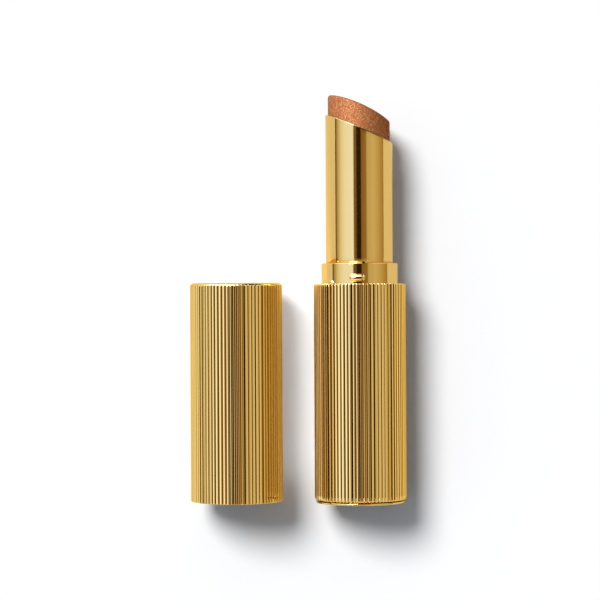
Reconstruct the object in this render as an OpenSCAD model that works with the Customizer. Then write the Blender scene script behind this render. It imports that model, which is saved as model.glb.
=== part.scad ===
// Twist-up lipstick case with a ribbed metal base, a slant-cut tube and a pull-off ribbed cap.
// The case lies on its side along +Y and the cap lies beside it at -X, mouth towards -Y.
// Every sub-part is drawn upright about its own axis, then laid down by in_case() or in_cap().
// Millimetres. The origin is on the table, under the middle of the pair.

/* [Case] */
// Diameter over the rib crests, the same on the base and the cap
case_d = 18; // [17.8:0.1:20]
// Height of the ribbed base, from its foot to the shoulder that the cap closes on
base_h = 42.7; // [42:0.1:46]
// Height of the cap
cap_h = 42.6; // [42.6:0.1:46]
// Gap between the base and the cap as they lie
lay_gap = 6.2; // [3:0.1:30]
// How far the cap's mouth lies up from the level of the base's foot
cap_lay_y = 0.4; // [0:0.1:10]

/* [Ribs] */
// Number of ribs round the base and round the cap
rib_count = 76; // [60:1:90]
// Radius of one rounded rib
rib_r = 0.39; // [0.38:0.01:0.44]

/* [Collar and tube] */
// Outer diameter of the collar that the cap grips
collar_d = 15; // [14.9:0.05:15.1]
// Height of the collar above the shoulder
collar_h = 4; // [3.8:0.1:4.2]
// Outer diameter of the slant-cut tube
tube_d = 13.2; // [13.2:0.05:13.3]
// Height of the middle of the slanted rim above the shoulder
rim_h = 30.2; // [30:0.1:31]
// Tilt of the slanted rim
rim_tilt = 23.1; // [20:0.1:25]

/* [Bullet] */
// Diameter of the bullet
bullet_d = 12.1; // [12:0.05:12.1]
// Height of the bullet's top above the shoulder on its axis, as wound out here
bullet_h = 35; // [34:0.1:35.2]
// Radius of the convex top, seen from the side
top_r = 35; // [30:1:60]
// Tilt of the convex top at the axis
top_tilt = 23.6; // [20:0.1:25]

/* [Mechanism] */
// Rise of the bullet for one turn of the base
lead = 24; // [22:1:26]
// Full travel of the bullet
stroke = 26; // [24:0.5:26]
// How far the bullet is wound out
wound_out = 5; // [3:0.5:8]

/* [Hidden] */
$fn = 96;
e = 0.01;                            // Overshoot of a cutter past the face it opens

gold = "#d6ae52";
moulded = "#e8e4da";
acetal = "#f2f0ea";
steel = "#9a9da1";
silicone = "#c9ccd0";
paper = "#f4efe2";
copper_pearl = "#b8703f";

case_r = case_d / 2;
shell_bore_r = case_r - 0.65;        // Bore of both ribbed shells
fit = 0.05;                          // Radial gap of a fixed fit
run = 0.1;                           // Radial gap of a running fit

// The bullet's convex top, seen from the side: the arc's centre and the rounding of its high corner
arc_x = -top_r * sin(top_tilt);
arc_z = base_h + bullet_h - top_r * cos(top_tilt);
corner_r = 0.5;
corner_x = corner_r - bullet_d / 2;
corner_z = arc_z + sqrt(pow(top_r - corner_r, 2) - pow(corner_x - arc_x, 2));
meet_x = arc_x + (corner_x - arc_x) * top_r / (top_r - corner_r);    // Where the rounding meets the arc
tip_z = corner_z + corner_r;         // The highest point of the bullet

// Where the pair lies on the table
axis_x = (case_d + lay_gap) / 2;
lay_y = -tip_z / 2;                  // The longer of the two lies evenly about the origin

// Radii from the bore of the tube outwards
tube_r = tube_d / 2;
tube_bore_r = tube_r - 0.4;
guide_r = tube_bore_r + 0.8;
cam_bore_r = guide_r + run;
cam_r = cam_bore_r + 0.6;
liner_bore_r = cam_r + fit;
liner_r = shell_bore_r - fit;
collar_r = collar_d / 2;
collar_hole_r = collar_r + 0.12;     // Hole in the shoulder that the collar turns in

// Levels up the case, from the foot
plate_top = 0.4;                     // Top of the visible edge of the foot plate
shell_foot = plate_top + 0.15;       // Foot of the ribs, a shadow gap above the plate
plug_top = 1.3;                      // Top of the foot plate's plug
weight_foot = 1.4;
floor_z = 5.6;                       // Underside of the liner's floor
floor_top = floor_z + 0.8;
washer_top = floor_top + 0.4;
works_foot = washer_top + fit;       // Foot of the cam sleeve and the guide tube
lug_low = works_foot + 1.85;         // Lug centre with the bullet wound down
lug_z = lug_low + wound_out;
lug_high = lug_low + stroke;
lip_z = base_h - 0.7;                // Underside of the shoulder
ring_top = lip_z - 0.2;
ring_foot = ring_top - 1.8;
flange_top = ring_foot - 0.2;
flange_foot = flange_top - 1.1;
cam_top = flange_foot - 0.2;
liner_top = lip_z - 0.1;
tube_foot = base_h - 0.15;
collar_foot = base_h - 0.75;
collar_top = base_h + collar_h;
guide_top = collar_top - 0.8;

// Lugs and the slots they run in
lug_r = 0.9;
lug_reach = cam_r - 0.05;            // Radius that the lugs reach
slot_w = 2 * lug_r + 0.2;
slot_over = slot_w / 2 + 0.3;        // Slot beyond the lug centre at each end
helix_angle = atan(lead / (PI * (cam_r + cam_bore_r)));
cam_slot_angle = slot_w / sin(helix_angle) / ((cam_r + cam_bore_r) / 2) * 180 / PI;

// The elevator and the bullet, measured up from the lug centre
skirt_foot = -1.4;
cup_floor = base_h - 7.7 - lug_low;
cup_rim = cup_floor + 9;
elevator_r = tube_bore_r - run;
cup_wall = 0.25;
elevator_head_r = elevator_r - cup_wall - 0.03;
bullet_foot_r = elevator_head_r - 0.42;

// Cap levels, from its mouth
cap_top_wall = 1;
cap_weight_h = 1.5;
weight_z = cap_h - cap_top_wall - cap_weight_h - 0.1;
cap_liner_top = weight_z - 0.1;
cap_cavity_h = cap_liner_top - 1;
grip_r = collar_r + 0.12;            // Bore of the liner where it grips the collar
grip_h = collar_h + 0.3;
cap_cavity_r = tube_r + 0.6;

// Cap retention beads and the alignment lug on the collar
bead_count = 3;
bead_z = base_h + 1.15;
bead_r = 0.85;                       // Radius of a bead's rounded section
bead_proud = 0.25;
bead_span = 12;                      // Angle between the ends of a bead's centre line
bead_at = -95;                       // Angle of the bead in front
key_at = -145;                       // Angle of the alignment lug
key_z = base_h + 0.05;

// Lays an upright sub-part of the case on the table
module in_case() {
    translate([axis_x, lay_y, case_r]) rotate([-90, 0, 0]) children();
}

// Lays an upright sub-part of the cap on the table
module in_cap() {
    translate([-axis_x, lay_y + cap_lay_y, case_r]) rotate([-90, 0, 0]) children();
}

// A tube standing on level z
module ring(outer, inner, z, h) {
    translate([0, 0, z]) difference() {
        cylinder(r = outer, h = h);
        translate([0, 0, -e]) cylinder(r = inner, h = h + 2 * e);
    }
}

// A disc standing on level z
module disc(r, z, h) {
    translate([0, 0, z]) cylinder(r = r, h = h);
}

// Half profile of a body with its outer corners rounded by foot_f and top_f
module rounded_profile(r, h, foot_f, top_f) {
    square([r - max(foot_f, top_f), h]);
    translate([0, foot_f]) square([r, h - foot_f - top_f]);
    square([r - foot_f, h / 2]);
    translate([0, h / 2]) square([r - top_f, h / 2]);
    translate([r - foot_f, foot_f]) circle(foot_f);
    translate([r - top_f, h - top_f]) circle(top_f);
}

// Cross-section of a ribbed shell
module ribbed_section() {
    circle(case_r - rib_r + 0.1);
    for (i = [0 : rib_count - 1])
        rotate(i * 360 / rib_count) translate([case_r - rib_r, 0]) circle(rib_r, $fn = 24);
}

// A ribbed body of height h whose ribs die away over its rounded ends, cut off at level z
module ribbed_body(h, foot_f, top_f, z = 0) {
    intersection() {
        translate([0, 0, z]) linear_extrude(h - z) ribbed_section();
        rotate_extrude() rounded_profile(case_r + 0.05, h, foot_f, top_f);
    }
}

// A short raised bead that follows the collar, with round ends
module bead(z, at) {
    centre_r = collar_r + bead_proud - bead_r;
    rotate(at - bead_span / 2) translate([0, 0, z]) {
        rotate_extrude(angle = bead_span) translate([centre_r, 0]) circle(bead_r, $fn = 48);
        for (end = [0, bead_span])
            rotate(end) translate([centre_r, 0]) sphere(bead_r, $fn = 48);
    }
}

// A slanted cutter that removes all above the rim plane
module above_rim() {
    translate([0, 0, base_h + rim_h]) rotate([0, rim_tilt, 0])
        translate([-case_d, -case_d, 0]) cube([2 * case_d, 2 * case_d, 2 * case_d]);
}

module slanted_tube() {
    color(gold) in_case() difference() {
        ring(tube_r, tube_bore_r, tube_foot, rim_h + 10);
        above_rim();
    }
}

module collar() {
    color(gold) in_case() difference() {
        union() {
            disc(collar_r, collar_foot, collar_top - collar_foot);
            for (i = [0 : bead_count - 1]) bead(bead_z, bead_at + i * 360 / bead_count);
            bead(key_z, key_at);
        }
        disc(guide_r + 0.02, collar_foot - 3, guide_top + fit - collar_foot + 3);
        disc(tube_r + 0.02, collar_foot, collar_h + 2);
        ring(case_r, collar_hole_r - run, collar_foot - 3, base_h - collar_foot + 3);
    }
}

module guide_tube() {
    color(acetal) in_case() difference() {
        union() {
            disc(guide_r, works_foot, guide_top - works_foot);
            disc(guide_r + 0.6, flange_foot, flange_top - flange_foot);
        }
        disc(tube_bore_r, works_foot - 1, base_h);
        disc(tube_r + 0.02, tube_foot - fit, collar_h + 2);
        ring(case_r, guide_r, flange_foot + 0.2, 0.7);
        translate([-case_r, -slot_w / 2, works_foot - 1])
            cube([case_d, slot_w, lug_high + slot_over - works_foot + 1]);
    }
}

module brake_ring() {
    color(silicone) in_case() translate([0, 0, flange_foot + 0.55])
        rotate_extrude() translate([guide_r + 0.37, 0]) circle(0.32, $fn = 32);
}

module base_shell() {
    curve = 0.05;                    // Level where the rounding of the foot would end, inside the plate
    color(gold) in_case() difference() {
        translate([0, 0, curve]) ribbed_body(base_h - curve, 1.1, 0.2, shell_foot - curve);
        disc(shell_bore_r, 0, lip_z);
        disc(collar_hole_r, lip_z - 1, 3);
    }
}

module base_liner() {
    color(moulded) in_case() difference() {
        disc(liner_r, plug_top + fit, liner_top - plug_top - fit);
        disc(liner_bore_r, plug_top, floor_z - plug_top);
        disc(liner_bore_r, floor_top, base_h);
    }
}

module base_plate() {
    edge_r = case_r - 0.3;
    color(gold) in_case() difference() {
        union() {
            rotate_extrude() rounded_profile(edge_r, plate_top, plate_top / 2, 0.05);
            disc(liner_r, plate_top - e, plug_top - plate_top + e);
        }
        disc(case_r - 2.6, -1, 1.15);
    }
}

module base_weight() {
    color(steel) in_case() disc(liner_bore_r - 0.15, weight_foot, floor_z - weight_foot - 0.1);
}

module shade_label() {
    color(paper) in_case() disc(case_r - 2.7, 0.03, 0.12);
}

module thrust_washer() {
    color(acetal) in_case() ring(liner_bore_r - 0.15, 4.5, floor_top, washer_top - floor_top);
}

// One of the two helical slots' cross-sections, through the wall of the cam sleeve
module cam_slot_section() {
    half = cam_slot_angle / 2;
    polygon([[0, 0],
        for (a = [-half : half / 3 : half + e]) case_r * [cos(a), sin(a)]]);
}

module cam_sleeve() {
    slot_foot = lug_low - slot_over;
    slot_h = stroke + 2 * slot_over;
    turn = 360 * slot_h / lead;
    color(acetal) in_case() difference() {
        ring(cam_r, cam_bore_r, works_foot, cam_top - works_foot);
        for (side = [0, 180])
            rotate(side + (lug_z - slot_foot) * 360 / lead) translate([0, 0, slot_foot])
                linear_extrude(slot_h, twist = turn, slices = round(turn / 6), segments = 10)
                    cam_slot_section();
    }
}

module retaining_ring() {
    color(acetal) in_case() ring(liner_bore_r - 0.03, guide_r + run, ring_foot, ring_top - ring_foot);
}

module elevator() {
    skirt_bore_r = elevator_r - 0.85;
    color(moulded) in_case() translate([0, 0, lug_z]) difference() {
        union() {
            disc(elevator_r, skirt_foot, cup_floor - 2 - skirt_foot);
            disc(elevator_head_r, skirt_foot, cup_rim - 0.3 - skirt_foot);
            rotate([0, 90, 0]) cylinder(r = lug_r, h = 2 * lug_reach, center = true);
        }
        disc(skirt_bore_r, skirt_foot - 1, cup_floor - skirt_foot);
        disc(bullet_foot_r + 0.02, cup_floor, case_d);
    }
}

module bullet_cup() {
    color(gold) in_case() translate([0, 0, lug_z])
        ring(elevator_r, elevator_r - cup_wall, cup_floor - 1.95, cup_rim - cup_floor + 1.95);
}

// Side view of the bullet above level z, with its slanted, convex top
module bullet_side(z) {
    translate([-bullet_d / 2, z]) square([meet_x + bullet_d / 2 + e, corner_z - z]);
    translate([corner_x, corner_z]) circle(corner_r);
    intersection() {
        translate([meet_x, z]) square([bullet_d / 2 - meet_x, base_h]);
        translate([arc_x, arc_z]) circle(top_r, $fn = 360);
    }
}

module bullet() {
    neck = lug_z + cup_rim + 0.05;
    color(copper_pearl) in_case() {
        intersection() {
            disc(bullet_d / 2, neck, base_h);
            rotate([90, 0, 0]) linear_extrude(case_d, center = true) bullet_side(neck - 1);
        }
        disc(bullet_foot_r, lug_z + cup_floor + 0.05, cup_rim - cup_floor + 1);
    }
}

module cap_shell() {
    color(gold) in_cap() difference() {
        ribbed_body(cap_h, 0.15, 0.8);
        disc(shell_bore_r, -1, cap_h - cap_top_wall + 1);
    }
}

module cap_liner() {
    mouth = 0.3;
    color(moulded) in_cap() difference() {
        disc(liner_r, mouth, cap_liner_top - mouth);
        disc(grip_r, 0, grip_h);
        disc(cap_cavity_r, 0, cap_cavity_h);
        translate([0, 0, bead_z - base_h - 0.65]) cylinder(r = grip_r + bead_proud, h = 1.3);
        translate([0, 0, -e]) cylinder(r1 = grip_r + 0.5, r2 = grip_r, h = mouth + 0.1);
        rotate(key_at) translate([0, -1.8, -e]) cube([collar_r + bead_proud + 0.1, 3.6, mouth + 1]);
    }
}

module cap_weight() {
    color(steel) in_cap() disc(shell_bore_r - 0.15, weight_z, cap_weight_h);
}

slanted_tube();
collar();
guide_tube();
brake_ring();
base_shell();
base_liner();
base_plate();
base_weight();
shade_label();
thrust_washer();
cam_sleeve();
retaining_ring();
elevator();
bullet_cup();
bullet();
cap_shell();
cap_liner();
cap_weight();
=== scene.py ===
"""The twist-up lipstick case, seen from straight above as it lies beside its cap."""
import math

import bmesh
import bpy
import numpy as np
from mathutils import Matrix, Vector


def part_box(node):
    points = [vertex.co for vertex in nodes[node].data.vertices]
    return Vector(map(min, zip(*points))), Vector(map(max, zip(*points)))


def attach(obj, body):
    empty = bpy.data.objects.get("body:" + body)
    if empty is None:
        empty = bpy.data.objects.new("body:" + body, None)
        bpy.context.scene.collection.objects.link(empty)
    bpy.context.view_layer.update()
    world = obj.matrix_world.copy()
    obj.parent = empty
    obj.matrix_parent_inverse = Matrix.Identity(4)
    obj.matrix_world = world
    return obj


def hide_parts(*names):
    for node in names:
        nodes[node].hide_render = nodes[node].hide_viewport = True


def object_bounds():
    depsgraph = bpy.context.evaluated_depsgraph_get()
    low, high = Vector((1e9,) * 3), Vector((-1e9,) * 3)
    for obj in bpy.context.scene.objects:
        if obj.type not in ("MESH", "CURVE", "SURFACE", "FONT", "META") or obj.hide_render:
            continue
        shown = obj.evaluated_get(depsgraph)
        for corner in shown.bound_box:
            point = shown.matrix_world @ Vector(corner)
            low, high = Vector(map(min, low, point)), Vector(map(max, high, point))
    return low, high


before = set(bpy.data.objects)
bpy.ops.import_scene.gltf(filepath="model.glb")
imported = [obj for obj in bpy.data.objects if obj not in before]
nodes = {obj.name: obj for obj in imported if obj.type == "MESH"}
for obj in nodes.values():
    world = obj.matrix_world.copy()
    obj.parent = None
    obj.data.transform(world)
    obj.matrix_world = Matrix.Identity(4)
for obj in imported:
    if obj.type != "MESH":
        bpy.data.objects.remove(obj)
cad_low, cad_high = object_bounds()
scene = bpy.context.scene

MM = 0.001
TAU = 2 * math.pi

# ------------------------------------------------------------------ camera
# Straight above the pair and turned by a third of a degree. The long lens leaves slight perspective.
CAMERA_AT = (0.42, -0.18, 457)                             # mm
CAMERA_TURN = math.radians(-0.32)
camera_data = bpy.data.cameras.new("camera")
camera_data.lens = 137.4
camera_data.sensor_width = 36
camera_data.clip_start, camera_data.clip_end = 0.01, 20
camera = bpy.data.objects.new("camera", camera_data)
camera.location = [place * MM for place in CAMERA_AT]
camera.rotation_euler = (0, 0, CAMERA_TURN)
scene.collection.objects.link(camera)
scene.camera = camera

# ------------------------------------------------------------------ sizes in mm, most from the frame


class Line:
    """An axis along Y: its place across the table and the level that heights along it are counted from."""

    def __init__(self, node, start):
        low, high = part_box(node)
        self.x, self.z = (low.x + high.x) / 2, (low.z + high.z) / 2
        self.radius = (high.x - low.x) / 2 / MM
        self.start = start


foot_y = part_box("base_plate")[0].y
case = Line("base_shell", foot_y)
cap = Line("cap_shell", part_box("cap_shell")[0].y)


def levels(node, start):
    """Heights of a node's two ends above that level."""
    low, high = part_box(node)
    return (low.y - start) / MM, (high.y - start) / MM


SHELL_FOOT, SHOULDER = levels("base_shell", foot_y)
COLLAR_FOOT, COLLAR_TOP = levels("collar", foot_y)
TUBE_FOOT, TUBE_TIP = levels("slanted_tube", foot_y)
BULLET_FOOT = levels("bullet", foot_y)[0]
CAP_H = levels("cap_shell", cap.start)[1]
LINING_TOP = levels("cap_liner", cap.start)[1]

SHELL_BORE = case.radius - 0.65
FACE_R = 8.7               # where a sleeve's flat end begins, inside its ribs
HOLE_R = 7.62              # hole in the shoulder
LINER_R = 8.3              # outside of what is pressed into a sleeve
COLLAR_R = 7.5
TUBE_R = Line("slanted_tube", foot_y).radius
TUBE_BORE = TUBE_R - 0.4
RIM_SLOPE = math.tan(math.radians(23.1))
PLATE_R = Line("base_plate", foot_y).radius
BEAD_AT, LUG_AT = 95, 145  # degrees round the axis
BEAD_TURNS = (0, -120, 120)

RIBS = 76
RIB_R = 1.5                # roundness of a rib's crest
GROOVE = 0.175             # half width of the straight-sided, right-angled groove between two ribs
UNEVEN = 0.06              # how far a groove wanders, in rib widths
WIDE, LEAN = 0.3, 0.11     # how much its width changes, and how far off centre a crest sits
BEND = 0.008               # half width of the bends at a groove's bottom and lips
CREST_POINTS = 8

# ------------------------------------------------------------------ meshes


def angles(columns):
    return np.arange(columns) * TAU / columns


def arc_from(phi, degrees, radius):
    """Distance round the wall from the place at that many degrees."""
    return np.abs((phi - math.radians(degrees) + math.pi) % TAU - math.pi) * radius


def surface(name, line, rows, phi, closed=False):
    """A mesh wound round a line at the angles phi. A row's height and radius may be arrays over phi."""
    columns = len(phi)
    verts, ids = [], []
    for height, radius in rows:
        height = np.broadcast_to(np.asarray(height, float), columns)
        radius = np.broadcast_to(np.asarray(radius, float), columns)
        if radius.max() < 1e-6:
            ids.append(np.full(columns, len(verts)))
            verts.append((line.x, line.start + height[0] * MM, line.z))
            continue
        ids.append(np.arange(len(verts), len(verts) + columns))
        verts += zip(line.x + radius * np.cos(phi) * MM, line.start + height * MM,
                     line.z + radius * np.sin(phi) * MM)
    faces = []
    pairs = list(zip(ids, ids[1:])) + ([(ids[-1], ids[0])] if closed else [])
    for a, b in pairs:
        for j in range(columns):
            k = (j + 1) % columns
            ring = [a[j], a[k], b[k], b[j]]
            faces.append([v for i, v in enumerate(ring) if v not in ring[:i]])
    mesh = bpy.data.meshes.new(name)
    mesh.from_pydata([tuple(map(float, v)) for v in verts], [], [tuple(map(int, f)) for f in faces])
    bm = bmesh.new()
    bm.from_mesh(mesh)
    bmesh.ops.recalc_face_normals(bm, faces=bm.faces)
    bm.to_mesh(mesh)
    bm.free()
    mesh.shade_smooth()
    obj = bpy.data.objects.new(name, mesh)
    scene.collection.objects.link(obj)
    return obj


def outline(points, steps=5, hold=0.03):
    """Rows for surface() from (height, radius, fillet) corners. hold keeps the flats flat beside a fillet."""
    rows = []
    for i, (h, r, f) in enumerate(points):
        here = np.array([h, r], float)
        if f <= 0 or i in (0, len(points) - 1):
            rows.append(here)
            continue
        before = np.array(points[i - 1][:2], float) - here
        after = np.array(points[i + 1][:2], float) - here
        len_b, len_a = np.linalg.norm(before), np.linalg.norm(after)
        before, after = before / len_b, after / len_a
        half = math.acos(float(np.clip(before @ after, -1, 1))) / 2
        reach = min(f / math.tan(half), 0.49 * len_b, 0.49 * len_a)
        centre = here + (before + after) / np.linalg.norm(before + after) * reach / math.cos(half)
        start, end = here + before * reach - centre, here + after * reach - centre
        turn = math.atan2(start[0] * end[1] - start[1] * end[0], start @ end)
        if len_b > 4 * reach:
            rows.append(here + before * (reach + hold))
        for t in np.linspace(0, turn, steps + 1):
            rows.append(centre + [start[0] * math.cos(t) - start[1] * math.sin(t),
                                  start[0] * math.sin(t) + start[1] * math.cos(t)])
        if len_a > 4 * reach:
            rows.append(here + after * (reach + hold))
    return [tuple(r) for r in rows]


def rib_depth(x, low, high, lean):
    """Depth of the wall below the crest's height at x. The rounded top of the rib runs from low to high."""
    crest = min(max(x, low), high)
    return RIB_R - math.sqrt(RIB_R ** 2 - (crest - lean) ** 2) + abs(x - crest)


def ribbed_wall(seed):
    """Angles round the axis, and the wall's radius at each."""
    chance = np.random.default_rng(seed)
    grooves = (np.arange(RIBS) + 0.5 + chance.uniform(-UNEVEN, UNEVEN, RIBS)) * TAU / RIBS
    widths = GROOVE * chance.uniform(1 - WIDE, 1 + WIDE, RIBS)
    leans = chance.uniform(-LEAN, LEAN, RIBS)
    ribs = zip(grooves, np.append(grooves[1:], grooves[0] + TAU), widths, np.roll(widths, -1), leans)
    phi, radius = [], []
    for start, end, left, right, lean in ribs:
        half = (end - start) / 2 * case.radius
        low, high = left - half, half - right
        places = [-half, BEND - half, left - BEND - half, *np.linspace(low, high, CREST_POINTS),
                  high + BEND, half - BEND]
        phi += [(start + end) / 2 + x / case.radius for x in places]
        radius += [case.radius - rib_depth(x, low, high, lean) for x in places]
    return np.array(phi), np.array(radius)


def smooth_min(a, b, k):
    h = np.clip(0.5 + 0.5 * (b - a) / k, 0, 1)
    return b * (1 - h) + a * h - k * h * (1 - h)


def smooth_step(x, low, high):
    t = np.clip((x - low) / (high - low), 0, 1)
    return t * t * (3 - 2 * t)


# Base sleeve: the ribs end in rounded noses above a shadow gap at the foot, and in a small edge at the top
FOOT_ROUND, FOOT_LEVEL, FOOT_ZONE = 1.1, 1.15, 2.2
NOSE, NOSE_DROP = 0.5, 0.22
SHOULDER_ROUND, SHOULDER_LIP = 0.2, 0.7
phi, ribs = ribbed_wall(11)
nose_foot = SHELL_FOOT + 0.02 + 0.2 * np.clip((case.radius - ribs) / 0.1, 0, 1)
rows = []
for t in np.linspace(0, 1, 18) ** 1.6:
    h = nose_foot + (FOOT_ZONE - nose_foot) * t
    rounding = np.sqrt(FOOT_ROUND ** 2 - np.maximum(FOOT_LEVEL - h, 0) ** 2)
    envelope = case.radius + 0.05 - FOOT_ROUND + rounding
    envelope -= NOSE_DROP * (1 - np.sqrt(1 - np.clip(1 - (h - nose_foot) / NOSE, 0, 1) ** 2))
    rows.append((h, smooth_min(ribs, envelope, 0.04)))
for h in np.linspace(3, SHOULDER - 1, 12):
    rows.append((h, ribs))
for t in np.linspace(0, math.pi / 2, 8):
    envelope = case.radius + 0.03 - SHOULDER_ROUND * (1 - math.cos(t))
    rows.append((SHOULDER - SHOULDER_ROUND * (1 - math.sin(t)), smooth_min(ribs, envelope, 0.05)))
rows += outline([(SHOULDER, FACE_R, 0), (SHOULDER, HOLE_R, 0.08), (SHOULDER - SHOULDER_LIP, HOLE_R, 0.05),
                 (SHOULDER - SHOULDER_LIP, SHELL_BORE, 0), (SHELL_FOOT, SHELL_BORE, 0)])
base_sleeve = surface("base_sleeve", case, rows, phi, closed=True)

# Cap sleeve: the ribs die away just below the rounded closed end, and run out to the mouth
CROWN_ROUND, MOUTH_ROUND, CAP_WALL = 0.7, 0.12, 1
FADE = (0.32, 0.75)        # below the closed end, where the ribs begin and where they are full
phi, ribs = ribbed_wall(23)
rows = [(CAP_H, 0), (CAP_H, 3), (CAP_H, 6), (CAP_H, case.radius - CROWN_ROUND - 0.1)]
for t in np.linspace(math.pi / 2, 0, 10):
    h = CAP_H - CROWN_ROUND * (1 - math.sin(t))
    crest = case.radius - CROWN_ROUND * (1 - math.cos(t))
    rows.append((h, crest - (case.radius - ribs) * smooth_step(CAP_H - h, *FADE)))
for drop in (0.72, 0.76, 0.82, 1.0, 1.4):
    rows.append((CAP_H - drop, case.radius - (case.radius - ribs) * smooth_step(drop, *FADE)))
for h in np.linspace(CAP_H - 4, 2, 12):
    rows.append((h, ribs))
for t in np.linspace(0, math.pi / 2, 6):
    envelope = case.radius + 0.03 - MOUTH_ROUND * (1 - math.cos(t))
    rows.append((MOUTH_ROUND * (1 - math.sin(t)), smooth_min(ribs, envelope, 0.04)))
rows += outline([(0, FACE_R, 0), (0, SHELL_BORE, 0.08), (CAP_H - CAP_WALL, SHELL_BORE, 0.2),
                 (CAP_H - CAP_WALL, 0, 0)])
cap_sleeve = surface("cap_sleeve", cap, rows, phi)

# Foot plate: the smooth band below the ribs, with the recess for the label
PLATE_TOP, PLATE_H = 0.4, 1.3
RECESS, RECESS_R = 0.15, 6.4
foot_plate = surface("foot_plate", case, outline([
    (RECESS, 0, 0), (RECESS, RECESS_R, 0.03), (0, RECESS_R, 0.05), (0, PLATE_R, 0.2),
    (PLATE_TOP, PLATE_R, 0.08), (PLATE_TOP, LINER_R, 0), (PLATE_H, LINER_R, 0.1),
    (PLATE_H, 0, 0)]), angles(256))

# Slant-cut tube
tube_phi = angles(288)
rim_mid = TUBE_TIP - RIM_SLOPE * TUBE_R
RIM_EDGE = [(1, 0), (0.16, 0), (0.12, 0), (0.06, 0.015), (0.02, 0.05)]      # drop below the rim, and inset
RIM_FACE = (0.1, 0.13)                                                      # insets on the cut face


def rim(radius):
    """Height of the slanted rim at that radius, round the tube."""
    return rim_mid - RIM_SLOPE * radius * np.cos(tube_phi)


def rim_edge(radius, inwards):
    """Rows up a wall of the tube and on to the cut face."""
    rows = [(rim(radius) - drop, radius + inset * inwards) for drop, inset in RIM_EDGE]
    return rows + [(rim(radius + inset * inwards), radius + inset * inwards) for inset in RIM_FACE]


rows = [(TUBE_FOOT, TUBE_R), (COLLAR_TOP + 2, TUBE_R), (rim(TUBE_R) - 6, TUBE_R)]
rows += rim_edge(TUBE_R, -1) + rim_edge(TUBE_BORE, 1)[::-1] + [(TUBE_FOOT, TUBE_BORE)]
slant_tube = surface("slant_tube", case, rows, tube_phi, closed=True)

# Collar, with its snap beads and the lug that lines the cap up
collar_phi = angles(900)
BEAD_PROUD = 0.25
# Degrees round, level, half length and size of each
BEADS = [(BEAD_AT + turn, SHOULDER + 1.15, 0.85, 0.64) for turn in BEAD_TURNS]
BEADS.append((LUG_AT, SHOULDER + 0.05, 0.8, 0.75))


def with_beads(height, radius):
    """A wall radius with the beads standing out of it."""
    out = np.full(len(collar_phi), float(radius))
    for at, level, half, size in BEADS:
        along = arc_from(collar_phi, at, COLLAR_R)
        away = np.hypot(np.maximum(along - half, 0), height - level) / size
        out = np.maximum(out, radius + BEAD_PROUD * np.clip(1 - away ** 2, 0, 1) ** 0.8)
    return out


rows = [(COLLAR_FOOT, COLLAR_R - 0.02), (COLLAR_FOOT + 0.03, COLLAR_R), (SHOULDER - 0.02, COLLAR_R)]
rows += [(h, with_beads(h, COLLAR_R)) for h in np.arange(SHOULDER, SHOULDER + 2.1, 0.045)]
rows += [(COLLAR_TOP - 1.5, COLLAR_R), (COLLAR_TOP - 0.34, COLLAR_R)]
rows += outline([(COLLAR_TOP - 0.3, COLLAR_R, 0), (COLLAR_TOP, COLLAR_R, 0.24),
                 (COLLAR_TOP, TUBE_R + 0.02, 0.02), (COLLAR_FOOT, TUBE_R + 0.42, 0)])[1:]
collar_ring = surface("collar_ring", case, rows, collar_phi, closed=True)

# Bullet: a smooth stick with a slanted, slightly convex top and a soft edge
BULLET_R, NECK_R, NECK_H = 6.05, 5.4, 9
ARC_R, ARC_TILT, ARC_TOP = 35.0, math.radians(23.6), SHOULDER + 35
CROWN = 0.05               # fall of the top to either side, across the slant
neck_top = BULLET_FOOT + NECK_H
bullet_phi = angles(256)
bullet_cos, bullet_sin = np.cos(bullet_phi), np.sin(bullet_phi)


def top_face(radius):
    """Height of the slanted top at that radius, round the bullet."""
    x, z = radius * bullet_cos, radius * bullet_sin
    chord = np.sqrt(ARC_R ** 2 - (x + ARC_R * math.sin(ARC_TILT)) ** 2)
    along = ARC_TOP - ARC_R * math.cos(ARC_TILT) + chord
    return along - CROWN * (z / BULLET_R) ** 2


rows = [(BULLET_FOOT, 0), (BULLET_FOOT, 5.0), (BULLET_FOOT + 0.1, NECK_R), (neck_top - 0.05, NECK_R),
        (neck_top, 5.45), (neck_top, BULLET_R - 0.06), (neck_top + 0.06, BULLET_R),
        (SHOULDER + 20, BULLET_R)]
edge = 0.42 - 0.26 * bullet_cos + 0.1 * bullet_sin ** 2     # softer at the tip than at the low side
inner = BULLET_R - edge
corner, drop = top_face(BULLET_R), 1.25 * edge
for u in np.linspace(0, 1, 11):
    height = (1 - u) ** 2 * (corner - drop) + 2 * u * (1 - u) * corner + u ** 2 * top_face(inner)
    rows.append((height, BULLET_R - edge * u ** 2))
for share in np.linspace(0.97, 0.06, 22):
    rows.append((top_face(inner * share), inner * share))
rows.append((float(top_face(0)[0]), 0))
lipstick = surface("lipstick", case, rows, bullet_phi)

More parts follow.
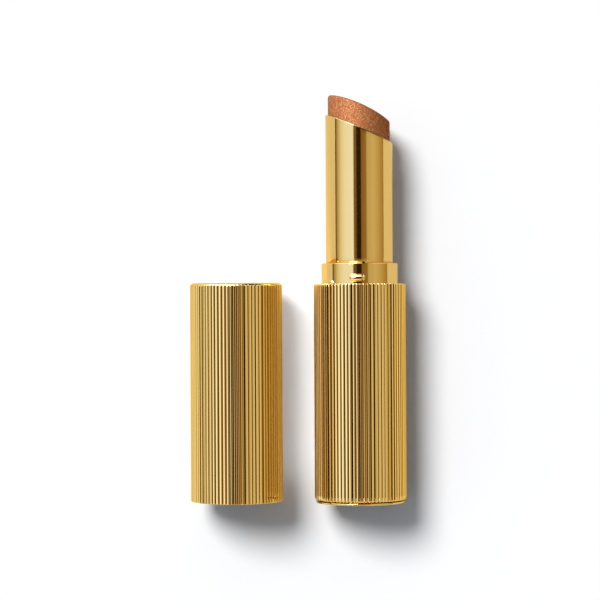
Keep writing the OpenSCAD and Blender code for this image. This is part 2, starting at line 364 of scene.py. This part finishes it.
# Cap lining: the socket with its snap groove and the notch for the lug
GRIP, SNAP_R, CAVITY_R = 7.62, 7.87, 7.2
NOTCH_R, NOTCH_H = 7.85, 1.3
lining_phi = angles(480)
notch = 1 - smooth_step(arc_from(lining_phi, LUG_AT, 7.7), 1.7, 1.9)
rows = outline([(LINING_TOP, 0, 0), (LINING_TOP, LINER_R, 0.1), (0.3, LINER_R, 0.1), (0.3, 8.06, 0)])
rows += [(h, np.maximum(r, NOTCH_R * notch)) for h, r in outline([
    (0.3, 8.05, 0), (0.3, 7.78, 0.03), (0.42, GRIP, 0.03), (0.5, GRIP, 0.02), (0.5, SNAP_R, 0.1),
    (1.8, SNAP_R, 0.1), (1.8, GRIP, 0.03), (2.4, GRIP, 0)]) if h < NOTCH_H]
rows += outline([(1.35, SNAP_R, 0), (1.8, SNAP_R, 0.1), (1.8, GRIP, 0.08), (4.3, GRIP, 0.12),
                 (4.6, CAVITY_R, 0.1), (LINING_TOP - 1, CAVITY_R, 0.6), (LINING_TOP - 1, 0, 0)])
cap_lining = surface("cap_lining", cap, rows, lining_phi)

# ------------------------------------------------------------------ materials


class Nodes:
    """A material's node tree, with short ways to add to it."""

    def __init__(self, name):
        self.material = bpy.data.materials.new(name)
        self.material.use_nodes = True
        self.tree = self.material.node_tree
        self.shader = self.tree.nodes["Principled BSDF"]

    def add(self, kind, **values):
        node = self.tree.nodes.new("ShaderNode" + kind)
        for key, value in values.items():
            if hasattr(node, key):
                setattr(node, key, value)
            else:
                node.inputs[key.replace("_", " ")].default_value = value
        return node

    def set(self, **values):
        for key, value in values.items():
            socket = self.shader.inputs[key.replace("_", " ")]
            socket.default_value = (*value, 1) if isinstance(value, tuple) else value

    def link(self, out, into):
        self.tree.links.new(out, into)

    def drive(self, name, out):
        self.link(out, self.shader.inputs[name])

    def coords(self, scale=(1, 1, 1)):
        mapping = self.add("Mapping")
        mapping.inputs["Scale"].default_value = scale
        self.link(self.add("TexCoord").outputs["Object"], mapping.inputs["Vector"])
        return mapping.outputs["Vector"]

    def noise(self, scale, detail=3.0, stretch=(1, 1, 1)):
        node = self.add("TexNoise", Scale=scale, Detail=detail)
        self.link(self.coords(stretch), node.inputs["Vector"])
        return node.outputs["Fac"]

    def spread(self, value, low, high, from_low=0.3, from_high=0.7):
        node = self.add("MapRange")
        node.inputs["From Min"].default_value = from_low
        node.inputs["From Max"].default_value = from_high
        node.inputs["To Min"].default_value = low
        node.inputs["To Max"].default_value = high
        self.link(value, node.inputs["Value"])
        return node.outputs["Result"]

    def mix(self, factor, a, b):
        node = self.add("Mix", data_type="RGBA")
        for socket, value in ((node.inputs[6], a), (node.inputs[7], b)):
            if isinstance(value, tuple):
                socket.default_value = (*value, 1)
            else:
                self.link(value, socket)
        self.link(factor, node.inputs[0])
        return node.outputs[2]

    def multiply(self, a, b):
        node = self.add("Math", operation="MULTIPLY")
        self.link(a, node.inputs[0])
        self.link(b, node.inputs[1])
        return node.outputs[0]

    def bump(self, height, strength, distance):
        node = self.add("Bump", Strength=strength, Distance=distance)
        self.link(height, node.inputs["Height"])
        self.drive("Normal", node.outputs["Normal"])

    def along(self):
        """Place along the case, in metres."""
        parts = self.add("SeparateXYZ")
        self.link(self.add("TexCoord").outputs["Object"], parts.inputs[0])
        return parts.outputs["Y"]

    def radius_from(self, line):
        """Distance from a line, in mm."""
        minus = self.add("VectorMath", operation="SUBTRACT")
        minus.inputs[1].default_value = (line.x, 0, line.z)
        flat = self.add("VectorMath", operation="MULTIPLY")
        flat.inputs[1].default_value = (1 / MM, 0, 1 / MM)
        size = self.add("VectorMath", operation="LENGTH")
        self.link(self.add("TexCoord").outputs["Object"], minus.inputs[0])
        self.link(minus.outputs[0], flat.inputs[0])
        self.link(flat.outputs[0], size.inputs[0])
        return size.outputs["Value"]


def smooth_gold():
    """Bright dyed metal. The tint is what it takes on where it is seen at a low angle."""
    m = Nodes("smooth_gold")
    m.set(Metallic=1.0, Specular_Tint=(1.0, 0.88, 0.62))
    m.drive("Base Color", m.mix(m.noise(160, 2), (0.72, 0.48, 0.15), (0.70, 0.455, 0.135)))
    m.drive("Roughness", m.spread(m.noise(900, 4), 0.055, 0.095))
    m.bump(m.noise(2600, 3, stretch=(1, 0.06, 1)), 0.05, 0.00002)
    return m.material


def ribbed_gold(name, line, foot, top):
    """The same metal, with painted shade in the grooves from the level foot to the level top, and lighter
    crests.
    """
    m = Nodes(name)
    m.set(Metallic=1.0, Specular_Tint=(1.0, 0.70, 0.28))
    # Painted shade: a mask for the bottoms of the grooves, between the foot and the top
    groove_shade = m.spread(m.radius_from(line), 1, 0, line.radius - 0.08, line.radius - 0.04)
    between = m.multiply(m.spread(m.along(), 0, 1, foot, foot + 0.1 * MM),
                         m.spread(m.along(), 1, 0, top - 0.1 * MM, top))
    # The crests are a lighter gold than the smooth metal, to make up for the dark amber painted shade in the
    # grooves
    crest = m.mix(m.noise(140, 2), (0.87, 0.595, 0.182), (0.85, 0.572, 0.166))
    m.drive("Base Color", m.mix(m.multiply(groove_shade, between), crest, (0.33, 0.14, 0.010)))
    m.drive("Roughness", m.spread(m.noise(1100, 4, stretch=(1, 0.02, 1)), 0.025, 0.055))
    m.bump(m.noise(2600, 3, stretch=(1, 0.01, 1)), 0.04, 0.00002)
    return m.material


def lipstick_wax():
    """Pearly wax: fine flakes, a few of them bright, in a slightly cloudy colour."""
    m = Nodes("lipstick_wax")
    m.set(Metallic=0.7, Specular_IOR_Level=0.1, Specular_Tint=(0.15, 0.03, 0.006))
    flakes = m.add("TexVoronoi", Scale=6500.0)
    m.link(m.coords(), flakes.inputs["Vector"])
    glint = m.add("SeparateColor")
    m.link(flakes.outputs["Color"], glint.inputs["Color"])
    cloudy = m.mix(m.noise(700), (0.455, 0.165, 0.053), (0.38, 0.128, 0.036))
    bright = m.spread(glint.outputs["Red"], 0, 0.7, 0.62, 1.0)
    m.drive("Base Color", m.mix(bright, cloudy, (0.76, 0.38, 0.17)))
    m.drive("Roughness", m.spread(glint.outputs["Green"], 0.62, 0.80, 0, 1))
    m.bump(m.noise(3000, 4), 0.2, 0.00004)
    return m.material


def fine_grain(name, colour, other, rough_low, rough_high, grain=1800.0, metallic=0.0):
    """A plain moulded or plated surface."""
    m = Nodes(name)
    m.set(Metallic=metallic)
    m.drive("Base Color", m.mix(m.noise(grain / 12), colour, other))
    m.drive("Roughness", m.spread(m.noise(grain / 3), rough_low, rough_high))
    m.bump(m.noise(grain), 0.12, 0.00002)
    return m.material


def label_paper():
    m = Nodes("label_paper")
    fibre = m.noise(5200, 5, stretch=(1, 1, 0.35))
    m.drive("Base Color", m.mix(fibre, (0.80, 0.77, 0.70), (0.88, 0.86, 0.80)))
    m.drive("Roughness", m.spread(m.noise(900), 0.42, 0.6))
    m.bump(fibre, 0.25, 0.00001)
    return m.material


def matt(name, colour, other, roughness, specular):
    """A stage surface, nearly even in tone."""
    m = Nodes(name)
    m.drive("Base Color", m.mix(m.noise(30, 2), colour, other))
    m.set(Roughness=roughness, Specular_IOR_Level=specular)
    return m.material


gold = smooth_gold()
case_gold = ribbed_gold("ribbed_gold_case", case,
                        foot_y + (SHELL_FOOT + 0.9) * MM, foot_y + (SHOULDER - 0.2) * MM)
cap_gold = ribbed_gold("ribbed_gold_cap", cap, cap.start + 0.1 * MM, cap.start + (CAP_H - 0.5) * MM)
wax = lipstick_wax()
moulded = fine_grain("moulded_abs", (0.80, 0.76, 0.66), (0.76, 0.72, 0.61), 0.22, 0.34)
acetal = fine_grain("natural_acetal", (0.84, 0.83, 0.79), (0.79, 0.78, 0.73), 0.36, 0.5)
silicone = fine_grain("greased_silicone", (0.50, 0.52, 0.54), (0.44, 0.46, 0.48), 0.18, 0.4, 2600.0)
steel = fine_grain("plated_steel", (0.52, 0.53, 0.54), (0.44, 0.45, 0.46), 0.24, 0.4, 2400.0, 1.0)
paper = label_paper()

PIECES = [
    (base_sleeve, "base", "base_shell", "ribbed_gold", case_gold),
    (foot_plate, "base", "base_plate", "smooth_gold", gold),
    (cap_sleeve, "cap", "cap_shell", "ribbed_gold", cap_gold),
    (cap_lining, "cap", "cap_liner", "moulded", moulded),
    (slant_tube, "tube", "slanted_tube", "smooth_gold", gold),
    (collar_ring, "tube", "collar", "smooth_gold", gold),
    (lipstick, "carrier", "bullet", "lipstick_wax", wax),
]
for piece, body, node, slot_name, material in PIECES:
    piece.data.materials.append(material)
    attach(piece, body)
    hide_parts(node)

CARRIED_OVER = {
    "guide_tube": acetal, "cam_sleeve": acetal, "retaining_ring": acetal, "thrust_washer": acetal,
    "base_liner": moulded, "elevator": moulded, "brake_ring": silicone, "base_weight": steel,
    "cap_weight": steel, "bullet_cup": gold, "shade_label": paper,
}
for name, material in CARRIED_OVER.items():
    for socket in nodes[name].material_slots:
        socket.material = material

# ------------------------------------------------------------------ floor and lights
bpy.ops.mesh.primitive_plane_add(size=6.0, location=(0, 0, cad_low[2]))
floor = bpy.context.object
floor.name = "floor"
floor.data.materials.append(matt("white_table", (0.90, 0.90, 0.90), (0.91, 0.91, 0.91), 0.85, 0.1))

# The soft key: it lights the table and casts the shadows, from the upper left
KEY_FROM = np.array([-0.45, 0.55, 1.0])
key_from = KEY_FROM / np.linalg.norm(KEY_FROM)
key_data = bpy.data.lights.new("key", "SUN")
key_data.energy = 3.15
key_data.angle = math.radians(24)
key = bpy.data.objects.new("key", key_data)
key.rotation_euler = (math.acos(key_from[2]), 0, math.atan2(key_from[1], key_from[0]) + math.pi / 2)
scene.collection.objects.link(key)

# A narrow strip light over the gap between the two, which the key and the fill hardly reach
GAP_LENGTH, GAP_MIDDLE, GAP_ABOVE = 40, 23, 32             # mm
gap_low, gap_high = cap.x + cap.radius * MM, case.x - case.radius * MM
gap_data = bpy.data.lights.new("gap_light", "AREA")
gap_data.shape = "RECTANGLE"
gap_data.size, gap_data.size_y = 0.9 * (gap_high - gap_low), GAP_LENGTH * MM
gap_data.spread = math.radians(24)
gap_data.energy = 0.00034
gap_data.color = (0.93, 1.0, 1.09)
gap_light = bpy.data.objects.new("gap_light", gap_data)
gap_light.location = ((gap_low + gap_high) / 2, cap.start + GAP_MIDDLE * MM, GAP_ABOVE * MM)
gap_light.visible_camera = gap_light.visible_glossy = False
scene.collection.objects.link(gap_light)

# A black card beside the bullet keeps the right softbox out of its sheen. Only reflections see it, and its
# lower edge follows the slanted rim as the tube mirrors it: (height above the axis, distance from the rim's
# middle), mm
CARD_X = 20
CARD_EDGE = [(-6, -1.5), (4.6, -0.9), (15.3, 0.0), (27, 1.1), (48, 2.7), (150, 10.7), (150, 160), (-6, 160)]
rim_y = case.start + rim_mid * MM
corners = [(case.x + CARD_X * MM, rim_y + along * MM, case.z + up * MM) for up, along in CARD_EDGE]
card_mesh = bpy.data.meshes.new("black_card")
card_mesh.from_pydata(corners, [], [tuple(range(len(corners)))])
card_mesh.materials.append(matt("black_card", (0.010, 0.010, 0.010), (0.012, 0.012, 0.012), 0.9, 0.0))
card = bpy.data.objects.new("black_card", card_mesh)
card.visible_camera = card.visible_diffuse = card.visible_shadow = False
scene.collection.objects.link(card)

# ------------------------------------------------------------------ the room
# What bright work sees: a softbox to the left, a weaker one to the right, and a dark gap overhead between
# them. Degrees from straight up, towards +X, with the light from there.
STUDIO = [
    (-100, (0.60, 0.50, 0.40)), (-92, (0.50, 0.40, 0.24)), (-90.5, (0.03, 0.02, 0.01)),
    (-87.5, (0.03, 0.02, 0.01)), (-86, (0.40, 0.33, 0.20)), (-80, (0.62, 0.56, 0.46)),
    (-72, (0.90, 0.93, 0.88)), (-62, (1.08, 1.24, 1.65)), (-50, (1.17, 1.43, 2.2)),
    (-24, (1.20, 1.48, 2.60)), (-21, (1.15, 1.38, 2.1)), (-19.5, (0.27, 0.17, 0.07)),
    (-11, (0.21, 0.14, 0.09)), (-9.5, (0.03, 0.02, 0.004)), (4, (0.03, 0.02, 0.004)),
    (6, (0.34, 0.21, 0.09)), (22, (0.40, 0.28, 0.11)),
    (25, (0.72, 0.67, 0.50)), (48, (0.85, 0.79, 0.66)), (70, (0.69, 0.58, 0.34)), (88, (0.50, 0.36, 0.14)),
    (100, (0.52, 0.40, 0.26))]
LOWER_WALL, UPPER_WALL = (0.80, 0.74, 0.66), (0.85, 0.72, 0.50)
PANEL_LEFT, PANEL_RIGHT = (2.4, 3.2, 7.0), (1.5, 1.7, 2.8)
BACKDROP = (1.0, 1.0, 1.0)
# Matt things are lit mostly from the upper left: the colour on the key's side, and the one opposite. What
# they see by way of the gold is blue enough for its colour to cancel, so the shadows stay grey.
FILL = ((0.63, 0.66, 0.71), (0.027, 0.03, 0.035))
BOUNCED = ((0.8, 1.35, 5.6), (0.03, 0.05, 0.2))

world = bpy.data.worlds.new("studio")
scene.world = world
world.use_nodes = True
world.cycles.sampling_method = "NONE"
tree = world.node_tree
tree.nodes.clear()


def world_node(kind, inputs=(), **values):
    """A node of the world, with its first inputs set to numbers or linked to outputs."""
    node = tree.nodes.new("ShaderNode" + kind)
    for name, value in values.items():
        setattr(node, name, value)
    for socket, value in zip(node.inputs, inputs):
        if isinstance(value, bpy.types.NodeSocket):
            tree.links.new(value, socket)
        else:
            socket.default_value = value
    return node


def operate(operation, *inputs):
    return world_node("Math", inputs, operation=operation).outputs[0]


def ease(value, low, high, kind="SMOOTHSTEP"):
    """0 up to low, and 1 from high on."""
    return world_node("MapRange", (value, low, high), interpolation_type=kind).outputs[0]


def blend(factor, a, b):
    node = world_node("Mix", (factor,), data_type="RGBA")
    for socket, value in ((node.inputs[6], a), (node.inputs[7], b)):
        if isinstance(value, tuple):
            socket.default_value = (*value, 1)
        else:
            tree.links.new(value, socket)
    return node.outputs[2]


def from_sides(colours, across, low, high):
    """Light from its colour on the key's side to the one opposite."""
    return world_node("Background", (blend(ease(across, low, high, "LINEAR"), *colours),)).outputs[0]


def either(factor, a, b):
    return world_node("MixShader", (factor, a, b)).outputs[0]


direction = world_node("TexCoord").outputs["Generated"]
x, y, z = world_node("SeparateXYZ", (direction,)).outputs

# Across the room
low_angle, high_angle = STUDIO[0][0], STUDIO[-1][0]
angle = operate("MULTIPLY", operate("ARCTAN2", x, z), 180 / math.pi)
share = operate("DIVIDE", operate("SUBTRACT", angle, low_angle), high_angle - low_angle)
ramp = world_node("ValToRGB", (share,))
stops = ramp.color_ramp.elements
while len(stops) > 1:
    stops.remove(stops[-1])
stops[0].position, stops[0].color = 0.0, (*STUDIO[0][1], 1)
for degrees, colour in STUDIO[1:]:
    stop = stops.new((degrees - low_angle) / (high_angle - low_angle))
    stop.color = (*colour, 1)

# Towards either end the softboxes give way to walls. The upper one has a white panel, stronger on the left,
# between the softboxes and its plain foot.
panel = blend(ease(x, -0.12, 0.12), PANEL_LEFT, PANEL_RIGHT)
upper = blend(ease(y, 0.72, 0.86), panel, UPPER_WALL)
ends = blend(operate("GREATER_THAN", y, 0.0), LOWER_WALL, upper)
walls = blend(ease(operate("ABSOLUTE", y), 0.22, 0.5), ramp.outputs["Color"], ends)

dot = world_node("VectorMath", (direction, (0.62, -0.78, 0)), operation="DOT_PRODUCT")
slantwise = dot.outputs["Value"]
path = world_node("LightPath").outputs
direct = world_node("Background", (walls,)).outputs[0]
bounced = from_sides(BOUNCED, slantwise, -0.3, 0.15)
reflected = either(operate("MINIMUM", path["Diffuse Depth"], 1.0), direct, bounced)
seen = either(path["Is Glossy Ray"], from_sides(FILL, slantwise, -0.65, 0.45), reflected)
backdrop = world_node("Background", ((*BACKDROP, 1),)).outputs[0]
world_node("OutputWorld", (either(path["Is Camera Ray"], seen, backdrop),))

scene.view_settings.view_transform = "Standard"
